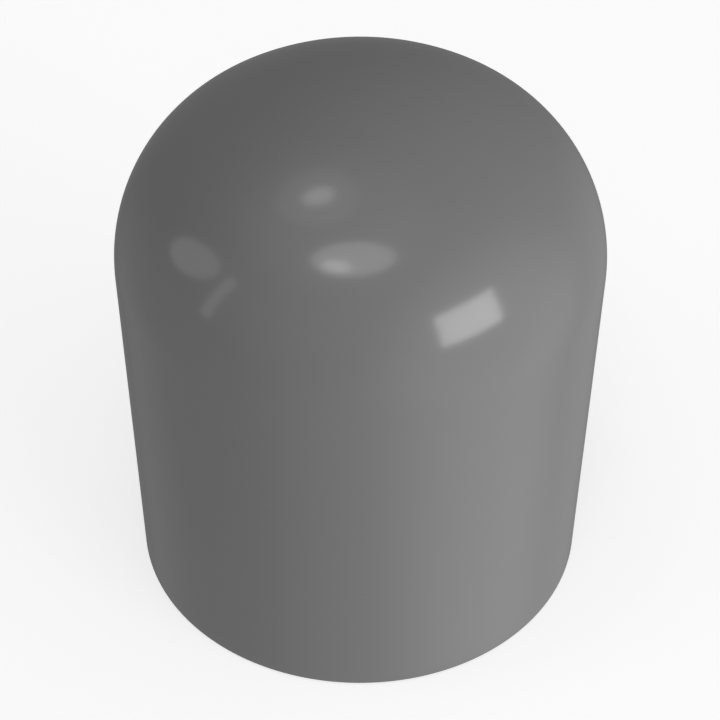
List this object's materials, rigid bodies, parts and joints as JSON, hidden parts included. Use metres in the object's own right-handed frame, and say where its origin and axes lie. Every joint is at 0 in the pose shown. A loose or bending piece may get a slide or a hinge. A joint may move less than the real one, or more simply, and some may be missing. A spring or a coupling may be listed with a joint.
{
  "type": "tube end cap",
  "caption": "Domed push-on end cap for a round tube, a one-piece plastic cup with a straight bore and a rounded closed end.",
  "frame": {"origin": "centre of the open mouth, in the plane of the rim and on the axis of the bore", "axes": "+Z along the axis from the open mouth to the top of the dome; X and Y are any two directions across it, because the cap is round"},
  "size_m": [0.032, 0.032, 0.0376],
  "materials": {
    "cap_plastic": "gloss"
  },
  "bodies": {
    "root": {"end_cap": "cap_plastic"}
  },
  "joints": []
}
